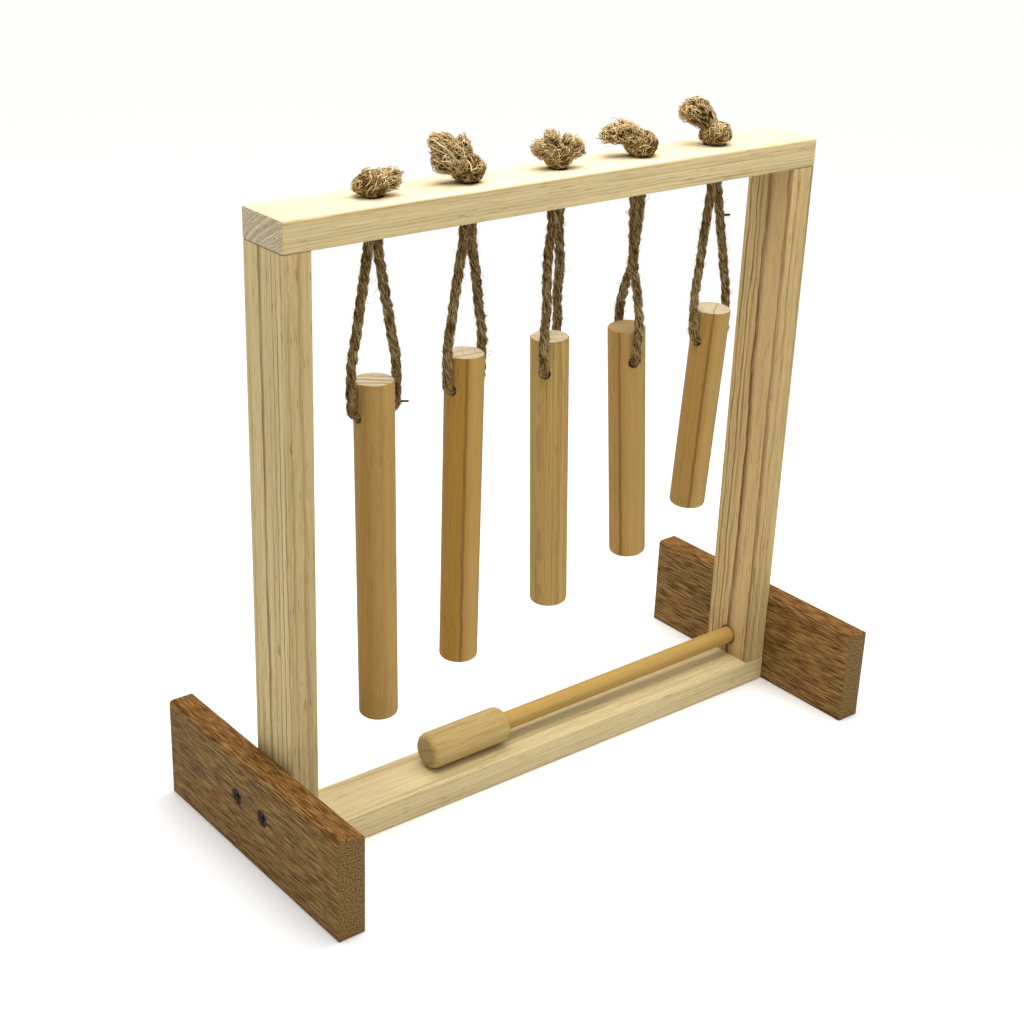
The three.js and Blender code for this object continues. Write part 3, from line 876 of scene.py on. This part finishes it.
def tailMeshes(tail, centre, seed):
    root = Matrix.Translation(centre) @ turned(tail["turn"], "Z") @ turned(90 - tail["rise"], "Y")
    root = root @ Matrix.Translation((0, 0, tailForm["start"] * mm))
    along = root.to_3x3() @ Vector((tail["droop"] / tail["length"], 0, 1))
    comb, shade, curl = tail.get("comb", 0.5), tail.get("shade", 0.0), tail.get("curl", 1.0)
    aim = {"Aim X": along.x * comb, "Aim Y": along.y * comb, "Aim Z": along.z * comb}
    # the dark heart is painted shade between the fibres
    heart = sleeveMesh(tail, tailForm["heartInset"], seed)
    heart.transform(root)
    meshes = [heart]
    for kind, look in (("mat", tailMat), ("curl", tailCurl), ("hair", hairLook)):
        base = sleeveMesh(tail, tailForm["coatInset"], seed)
        base.transform(root)
        values = dict(look, Straw=look["Straw"] + shade, Seed=seed * 3)
        if kind == "mat":
            values.update(aim)
        if kind == "curl":
            values["Density"] *= curl
        meshes.append(grow(kind, base, fibreTree, values))
    shape = {"Count": tail["brush"], "Length": (tail["length"] - tailForm["start"]) * mm,
             "Flare": tail["end"] * tailForm["flare"] * mm, "Droop": tail["droop"] * tailForm["droop"] * mm,
             "Root": tail["neck"] * mm, "Seed": seed}
    for kind, look in (("lock", lockLook), ("wisp", wispLook)):
        values = dict(shape, **look)
        values["Straw"] += shade
        values["Curl"] *= curl
        brush = grow(kind, bpy.data.meshes.new("root"), frayTree, values)
        brush.transform(root)
        meshes.append(brush)
    return meshes


def makeKnot(number, hanger, knot):
    centre = Vector(((hanger["x"] + knot["shift"]) * mm, 0, beamTop + knot["rise"] * mm))
    meshes = [grow("wound", pathMesh(windPath(centre, knot["ball"], number)), twineTree,
                   dict(windLook, Seed=number))]
    # the dark heart is painted shade between the fibres
    meshes.append(ballMesh(centre, [r - knotForm["heartInset"] for r in knot["ball"]], number))
    for kind, look in (("mat", matLook), ("curl", curlLook), ("hair", hairLook)):
        base = ballMesh(centre, [r - knotForm["coatInset"] for r in knot["ball"]], number)
        values = dict(look, Straw=look["Straw"] + knot.get("shade", 0.0), Seed=number * 7)
        meshes.append(grow(kind, base, fibreTree, values))
    for place, tail in enumerate(knot["tails"]):
        meshes += tailMeshes(tail, centre, number * 20 + place)
    piece = joinMeshes(f"knot_{number}", meshes, jute)
    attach(piece, "frame")
    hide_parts(f"twine_knot_{number}")


for number, (hanger, knot) in enumerate(zip(hangers, knots), 1):
    makeKnot(number, hanger, knot)
print("stage: knots tied")


# Patterns in the wood: scale per mm across and along the grain, detail, and a shift between them
grainNoise = {
    "wave": ((0.05, 0.05, 0.009), 3.0, 0.0),
    "ripple": ((0.09, 0.09, 0.05), 1.0, 37.0),
    "fibre": ((1.5, 1.5, 0.03), 4.0, 5.0),
    "streak": ((0.16, 0.16, 0.004), 2.0, 9.0),
    "patchy": ((0.25, 0.25, 0.012), 2.0, 13.0),
    "zone": ((0.09, 0.09, 0.003), 1.0, 29.0),
    "thin": ((0.8, 0.8, 0.007), 2.0, 23.0),
}
grainSteps = {  # where each pattern sets in and where it is full
    "patchy": (0.2, 0.55),
    "zone": (0.42, 0.62),
    "thin": (0.54, 0.64),
    "facing": (0.5, 0.95),
    "end": (0.7, 0.95),
    "speckle": (0.43, 0.6),
    "sawn": (-0.2, 0.9),
}
grainForm = {
    "seedShift": 3.1,
    "ringUnevenness": 0.83,
    "lateFull": 0.86,  # shares of a ring
    "lateFade": (0.9, 1.0),
    "faintest": 0.25,
    "dashStep": 0.08,
    "fleckStep": -0.1,
    "pore": (1.0, 17.0),  # detail and shift, as above
    "grit": (3.0, 31.0),
    "stripeCore": 0.35,
    "stripeBreak": (0.5, 0.5),  # factor and extra of what breaks a stripe up
    "endBreak": (-0.4, 0.8),
    "sawn": 0.45,
    "scorchEdge": (1.7, -0.2),  # mm out from the hole's edge, and in
    "bumpDepth": 0.12 * mm,
    "lateBump": -0.4,
}


# Wood. Growth rings stand round a pith that lies off the piece, so faces, edges and ends agree.
def makeWood(name, look):
    form = grainForm
    material, tree, shader = newMaterial(name)
    coords = addNode(tree, "ShaderNodeTexCoord")
    local = addNode(tree, "ShaderNodeMapping", {
        "Vector": coords.outputs["Object"], "Location": look["centre"],
        "Rotation": look["grain"].to_euler(), "Scale": (mm, mm, mm),
    }, vector_type="TEXTURE").outputs["Vector"]

    def noiseAt(scale, detail, shift):
        start = (look["seed"] * form["seedShift"] + shift, shift, 0.0)
        return noiseOf(vectorCalc("MULTIPLY_ADD", local, scale, start), detail)

    def pattern(kind):
        return noiseAt(*grainNoise[kind]).outputs["Fac"]

    def stepped(value, kind):
        return smoothRange(value, *grainSteps[kind])

    def bend(vector, kind):
        lean = aroundZero(noiseAt(*grainNoise[kind]).outputs["Color"])
        return vectorCalc("MULTIPLY_ADD", lean, (look[kind], look[kind], 0.0), vector)

    def turnedTo(direction):
        return vectorCalc("DOT_PRODUCT", coords.outputs["Normal"], direction)

    def centred(value, strength, extra):
        return timesPlus(minus(value, 0.5), strength, extra)

    bent = bend(bend(local, "wave"), "ripple")
    parts = addNode(tree, "ShaderNodeSeparateXYZ", {"Vector": bent})
    across = timesPlus(parts.outputs["Z"], look["slope"], parts.outputs["X"])
    fromPith = combine(across, parts.outputs["Y"])
    fromPith = vectorCalc("SUBTRACT", fromPith, (*look["pith"], 0.0))
    rings = calc("DIVIDE", vectorCalc("LENGTH", fromPith), look["ring"])
    rings = plus(rings, calc("SINE", times(rings, form["ringUnevenness"])))
    through = calc("FRACT", rings)
    late = times(smoothRange(through, look["early"], form["lateFull"]),
                 minus(1.0, smoothRange(through, *form["lateFade"])))
    year = addNode(tree, "ShaderNodeTexWhiteNoise", {
        "W": plus(calc("FLOOR", rings), look["seed"]),
    }, noise_dimensions="1D").outputs["Value"]
    late = times(late, timesPlus(year, 1 - form["faintest"], form["faintest"]))
    fibre = pattern("fibre")
    patchy = stepped(pattern("patchy"), "patchy")
    pore = noiseAt(look["poreScale"], *form["pore"]).outputs["Fac"]
    dash = smoothRange(pore, look["dashFrom"], look["dashFrom"] + form["dashStep"])
    fleck = smoothRange(pore, look["fleckTo"], look["fleckTo"] + form["fleckStep"])
    zone = timesPlus(stepped(pattern("zone"), "zone"), 1 - form["faintest"], form["faintest"])
    thin = times(stepped(pattern("thin"), "thin"), zone)
    lines = times(late, patchy, look["lines"])
    if "calm" in look:  # a face with fainter lines
        toward, strength = look["calm"]
        keep = timesPlus(stepped(turnedTo(toward), "facing"), -strength, 1.0)
        lines = times(lines, keep)
    color = look["pale"]
    # The tint is the wood's own tone on most pieces; on the top beam's upper face it is a painted
    # highlight.
    if "tinted" in look:  # a face of another tone
        toward, tint, strength = look["tinted"]
        color = blendColor(times(stepped(turnedTo(toward), "facing"), strength), color, tint)
    color = blendColor(lines, color, look["late"])
    marks = ((thin, "thin", "late"), (fleck, "flecks", "fleck"), (dash, "dashes", "dash"))
    for mark, strength, tone in marks:
        color = blendColor(times(mark, look[strength]), color, look[tone])
    bearing = calc("ARCTAN2", parts.outputs["Y"], parts.outputs["X"])
    for angle, width, strength, tone in look.get("stripes", []):
        aside = calc("ABSOLUTE", minus(bearing, math.radians(angle)))
        stripe = smoothRange(aside, math.radians(width), math.radians(width * form["stripeCore"]))
        broken = times(stripe, timesPlus(patchy, *form["stripeBreak"]))
        color = blendColor(times(broken, strength), color, look[tone])
    light = centred(pattern("streak"), look["streak"], centred(fibre, look["fibre"], 1.0))
    color = addNode(tree, "ShaderNodeHueSaturation", {"Color": color, "Value": light}).outputs["Color"]
    facing = calc("ABSOLUTE", turnedTo(tuple(look["grain"] @ Vector((0, 0, 1)))))
    endColor = blendColor(times(late, look["endLines"]), look["endPale"], look["endLate"])
    speckle = stepped(noiseAt((look["grit"],) * 3, *form["grit"]).outputs["Fac"], "speckle")
    endColor = blendColor(times(speckle, look["speckle"]), endColor, look["endLate"])
    if "hatch" in look:  # sawn lines for each ring
        sawn = calc("SINE", times(rings, look["hatch"] * math.tau))
        sawn = times(stepped(sawn, "sawn"), form["sawn"])
        endColor = blendColor(sawn, endColor, look["endLate"])
    for angle, offset, width in look.get("endStripes", []):
        turn = math.radians(angle)
        onLine = vectorCalc("DOT_PRODUCT", bent, (math.cos(turn), math.sin(turn), 0.0))
        stripe = smoothRange(calc("ABSOLUTE", minus(onLine, offset)), width, 0.0)
        broken = times(stripe, timesPlus(speckle, *form["endBreak"]))
        endColor = blendColor(broken, endColor, look["endLate"])
    color = blendColor(stepped(facing, "end"), color, endColor)
    if "scorch" in look:
        spot, radius, brown = look["scorch"]
        reach = vectorCalc("DISTANCE", coords.outputs["Object"], spot)
        outer, inner = [(radius + edge) * mm for edge in form["scorchEdge"]]
        color = blendColor(smoothRange(reach, outer, inner), color, brown)
    feed(shader.inputs["Base Color"], color)
    feed(shader.inputs["Normal"], addNode(tree, "ShaderNodeBump", {
        "Strength": look["bump"], "Distance": form["bumpDepth"],
        "Height": timesPlus(late, form["lateBump"], fibre),
    }))
    setFinish(shader, look["roughness"], look["shine"])
    return material


cleanUp = {"merge": 0.002 * mm, "flat": math.radians(0.4), "sharp": math.radians(48)}


# A CAD node's own shape with its flat faces cleaned up and its shading smoothed
def woodPiece(name, node, body, material):
    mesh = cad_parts[node].data.copy()
    work = bmesh.new()
    work.from_mesh(mesh)
    bmesh.ops.remove_doubles(work, verts=work.verts, dist=cleanUp["merge"])
    bmesh.ops.dissolve_limit(work, angle_limit=cleanUp["flat"], verts=work.verts, edges=work.edges)
    work.to_mesh(mesh)
    work.free()
    mesh.shade_smooth()
    mesh.set_sharp_from_angle(angle=cleanUp["sharp"])
    mesh.materials.clear()
    mesh.materials.append(material)
    holder = newPiece(name + "Base", mesh)
    holder.modifiers.new("weighted", "WEIGHTED_NORMAL").keep_sharp = True
    piece = newPiece(name, applied(holder))
    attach(piece, body)
    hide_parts(node)


upGrain = Matrix.Identity(3)
alongX = Matrix.Rotation(math.radians(90), 3, "Y")
alongY = Matrix.Rotation(math.radians(-90), 3, "X")

pineLook = {
    "pale": (0.6, 0.465, 0.225, 1),
    "late": (0.23, 0.125, 0.04, 1),
    "dash": (0.17, 0.09, 0.028, 1),
    "fleck": (0.66, 0.55, 0.33, 1),
    "endPale": (0.6, 0.5, 0.325, 1),
    "endLate": (0.22, 0.165, 0.095, 1),
    "endLines": 0.6,
    "speckle": 0.45,
    "grit": 1.2,
    "lines": 0.6,
    "thin": 0.5,
    "flecks": 0.3,
    "fleckTo": 0.4,
    "early": 0.5,
    "ring": 3.2,
    "wave": 2.6,
    "ripple": 1.6,
    "slope": 0.006,
    "fibre": 0.5,
    "streak": 0.45,
    "poreScale": (1.1, 1.1, 0.06),
    "dashes": 0.65,
    "dashFrom": 0.65,
    "bump": 0.12,
    "roughness": 0.65,
    "shine": 0.12,
}
front, top = (0, -1, 0), (0, 0, 1)


# Top beam, its upper face painted paler and less yellow: a painted highlight for the strong light from
# above
topBeam = dict(pineLook, centre=(0, 0, 0.4035), grain=alongX, pith=(90, -60), seed=1, lines=0.45, thin=0.38,
               pale=(0.6, 0.47, 0.24, 1), poreScale=(1.7, 1.7, 0.06), dashes=0.55, grit=1.5, speckle=0.5,
               hatch=2.0, endPale=(0.72, 0.6, 0.4, 1), tinted=(top, (0.46, 0.416, 0.316, 1), 0.5))
woodPiece("topBeam", "top_beam", "frame", makeWood("pineBeam", topBeam))

# Bottom rail
bottomRail = dict(pineLook, centre=(0, 0, 0.0095), grain=alongX, pith=(-70, 14), seed=2, lines=0.45,
                  thin=0.35, dashes=0.45, pale=(0.625, 0.502, 0.262, 1))
woodPiece("bottomRail", "bottom_rail", "frame", makeWood("pineRail", bottomRail))

# Left upright
leftUpright = dict(pineLook, centre=(-0.1995, 0, 0.2065), grain=upGrain, pith=(24, -52), seed=3, lines=0.95,
                   thin=0.42, ring=6.5, early=0.6, late=(0.17, 0.085, 0.026, 1), calm=(front, 0.45),
                   tinted=(front, (0.39, 0.272, 0.105, 1), 0.45))
woodPiece("leftUpright", "left_upright", "frame", makeWood("pineLeft", leftUpright))

# Right upright, burnt brown round the mallet's hole
rightUpright = dict(pineLook, centre=(0.1995, 0, 0.2065), grain=upGrain, pith=(24, -60), seed=4, ring=5.4,
                    early=0.4, lines=1.0, thin=0.5, wave=4.2, ripple=2.2, pale=(0.505, 0.352, 0.148, 1),
                    late=(0.12, 0.056, 0.014, 1), calm=(front, 0.55),
                    tinted=(front, (0.54, 0.385, 0.165, 1), 0.8),
                    scorch=((0.19, 0, 0.0343), 6.85, (0.16, 0.06, 0.022, 1)))
woodPiece("rightUpright", "right_upright", "frame", makeWood("pineRight", rightUpright))
print("stage: pine frame done")

# Feet
footLook = {
    "pale": (0.184, 0.096, 0.027, 1),
    "late": (0.12, 0.06, 0.016, 1),
    "dash": (0.038, 0.017, 0.003, 1),
    "fleck": (0.34, 0.205, 0.07, 1),
    "endPale": (0.25, 0.153, 0.052, 1),
    "endLate": (0.045, 0.022, 0.006, 1),
    "endLines": 0.0,
    "speckle": 0.8,
    "grit": 0.95,
    "lines": 0.4,
    "thin": 0.5,
    "flecks": 0.7,
    "fleckTo": 0.5,
    "early": 0.2,
    "ring": 6.0,
    "wave": 4.0,
    "ripple": 1.0,
    "slope": 0.02,
    "fibre": 0.7,
    "streak": 0.35,
    "poreScale": (2.0, 2.0, 0.085),
    "dashes": 0.75,
    "dashFrom": 0.52,
    "bump": 0.3,
    "roughness": 0.6,
    "shine": 0.06,
    "tinted": (top, (0.17, 0.055, 0.006, 1), 0.7),
}
for side, x, seed in (("left", -0.2185, 5), ("right", 0.2185, 6)):
    foot = dict(footLook, centre=(x, 0, 0.035), grain=alongY, pith=(60, 25), seed=seed)
    woodPiece(side + "Foot", side + "_foot", "frame", makeWood(side + "FootWood", foot))
print("stage: feet done")

# Chimes. A stripe has a bearing, a half width in degrees, a strength and a tone,
# an end stripe an angle, an offset and a half width in mm.
dowelLook = dict(pineLook, pale=(0.405, 0.25, 0.074, 1), late=(0.2, 0.1, 0.024, 1),
                 dash=(0.17, 0.082, 0.02, 1), fleck=(0.45, 0.29, 0.095, 1), endPale=(0.6, 0.5, 0.32, 1),
                 endLate=(0.2, 0.125, 0.045, 1), speckle=0.15, endLines=0.4, fibre=0.3, streak=0.35,
                 dashes=0.45, thin=0.25, wave=1.4, slope=0.0, ring=3.6, shine=0.15)
chimeLooks = [
    {"pith": (-42, -51), "seed": 11, "lines": 0.38, "ring": 4.6, "early": 0.55,
     "endLate": (0.13, 0.075, 0.025, 1),
     "endStripes": [(-129, 4.8, 1.5), (-129, -1.7, 1.7), (-126, -7.2, 1.5)]},
    {"pith": (-26, 22), "seed": 12, "lines": 0.25, "pale": (0.37, 0.203, 0.036, 1),
     "stripes": [(88, 44, 0.8, "fleck"), (47, 6, 0.8, "late")],
     "fleck": (0.43, 0.268, 0.082, 1), "endStripes": [(-100, 3.0, 0.9), (-106, -5.0, 1.0)]},
    {"pith": (44, -12), "seed": 13, "lines": 0.65, "ring": 2.2, "thin": 0.6,
     "pale": (0.43, 0.284, 0.088, 1), "endStripes": [(-160, 1.5, 0.8), (-168, -6.0, 0.8)]},
    {"pith": (-30, -14), "seed": 14, "lines": 0.25, "pale": (0.38, 0.225, 0.058, 1),
     "endPale": (0.36, 0.25, 0.1, 1), "stripes": [(12, 56, 0.6, "fleck"), (-45, 6, 0.85, "late")],
     "endStripes": [(31.6, 5.7, 0.9), (25, -9.6, 1.5)]},
    {"pith": (20, 36), "seed": 15, "lines": 0.25, "pale": (0.355, 0.205, 0.052, 1), "endLines": 0.1,
     "stripes": [(92, 46, 0.7, "fleck"), (46, 6, 0.85, "late")], "endStripes": [(124.5, 2.1, 0.9)]},
]
for number, (hanger, look) in enumerate(zip(hangers, chimeLooks), 1):
    place = dowelFrame(hanger)
    wood = dict(dowelLook, centre=place.translation, grain=place.to_3x3(), **look)
    material = makeWood(f"dowel_{number}", wood)
    woodPiece(f"chime{number}", f"chime_{number}", f"hung_chime_{number}", material)
print("stage: chimes done")

# Mallet
malletTilt = 0.5
malletGrain = Matrix.Rotation(math.radians(90 - malletTilt), 3, "Y")
malletHead = dict(pineLook, centre=(-0.06, 0, 0.0321), grain=malletGrain, pith=(34, -20), seed=21,
                  lines=0.35, slope=0.0, thin=0.2, dashes=0.35, pale=(0.47, 0.33, 0.124, 1),
                  late=(0.24, 0.13, 0.04, 1), endPale=(0.42, 0.31, 0.15, 1))
woodPiece("malletHead", "mallet_head", "mallet", makeWood("malletPine", malletHead))
malletHandle = dict(dowelLook, centre=(0.07, 0, 0.0332), grain=malletGrain, pith=(24, 20), seed=22,
                    lines=0.25, dashes=0.1, pale=(0.455, 0.285, 0.078, 1))
woodPiece("malletHandle", "mallet_handle", "mallet", makeWood("handleDowel", malletHandle))
print("stage: mallet done")

# Screws and the glued pins inside the joints
steelFinish = {
    "black": (0.004, 0.004, 0.004, 1),
    "worn": (0.013, 0.014, 0.013, 1),
    "wearScale": 900.0,
    "wear": (0.4, 0.75),
    "roughness": 0.55,
    "shine": 0.25,
}


def makeSteel(finish):
    material, tree, shader = newMaterial("blackSteel")
    place = addNode(tree, "ShaderNodeTexCoord").outputs["Object"]
    wear = noiseOf(place, 2.0, finish["wearScale"]).outputs["Fac"]
    color = blendColor(smoothRange(wear, *finish["wear"]), finish["black"], finish["worn"])
    feed(shader.inputs["Base Color"], color)
    setFinish(shader, finish["roughness"], finish["shine"])
    return material


steel = makeSteel(steelFinish)
pinWood = makeWood("pinDowel", dict(dowelLook, centre=(0, 0, 0), grain=upGrain, pith=(30, 30), seed=31))
for name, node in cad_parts.items():
    if name.startswith(("foot_screw", "frame_pin")):
        node.data.materials.clear()
        node.data.materials.append(steel if name.startswith("foot_screw") else pinWood)
print("stage: screws and pins done")

# Floor and light
floorLook = {"size": 80.0, "color": (0.97, 0.97, 0.965, 1), "roughness": 0.8}
lightLook = {"place": (0.04, 0.0, 0.72), "wide": 0.62, "deep": 0.34, "power": 4.1, "horizon": 0.2,
             "zenith": 1.88}


def makeFloor(look):
    half = look["size"] / 2
    mesh = bpy.data.meshes.new("floor")
    corners = [(-half, -half, 0), (half, -half, 0), (half, half, 0), (-half, half, 0)]
    mesh.from_pydata(corners, [], [(0, 1, 2, 3)])
    material, _, shader = newMaterial("paleFloor")
    shader.inputs["Base Color"].default_value = look["color"]
    shader.inputs["Roughness"].default_value = look["roughness"]
    mesh.materials.append(material)
    newPiece("floor", mesh)


def makeLight(look):
    data = bpy.data.lights.new("panel", "AREA")
    data.shape = "RECTANGLE"
    data.size = look["wide"]
    data.size_y = look["deep"]
    data.energy = look["power"]
    panel = bpy.data.objects.new("panel", data)
    panel.location = look["place"]
    scene.collection.objects.link(panel)
    world = bpy.data.worlds.new("tent")
    world.use_nodes = True
    tree = world.node_tree
    background = tree.nodes["Background"]
    background.inputs["Color"].default_value = (1, 1, 1, 1)
    outward = addNode(tree, "ShaderNodeTexCoord").outputs["Generated"]
    up = addNode(tree, "ShaderNodeSeparateXYZ", {"Vector": outward}).outputs["Z"]
    climb = calc("POWER", calc("MAXIMUM", up, 0.0), 2.0)
    glow = timesPlus(climb, look["zenith"] - look["horizon"], look["horizon"])
    seen = addNode(tree, "ShaderNodeLightPath").outputs["Is Camera Ray"]  # a white backdrop
    feed(background.inputs["Strength"], calc("MAXIMUM", glow, seen))
    scene.world = world
    scene.view_settings.view_transform = "Standard"


makeFloor(floorLook)
makeLight(lightLook)
print("stage: floor and light done")
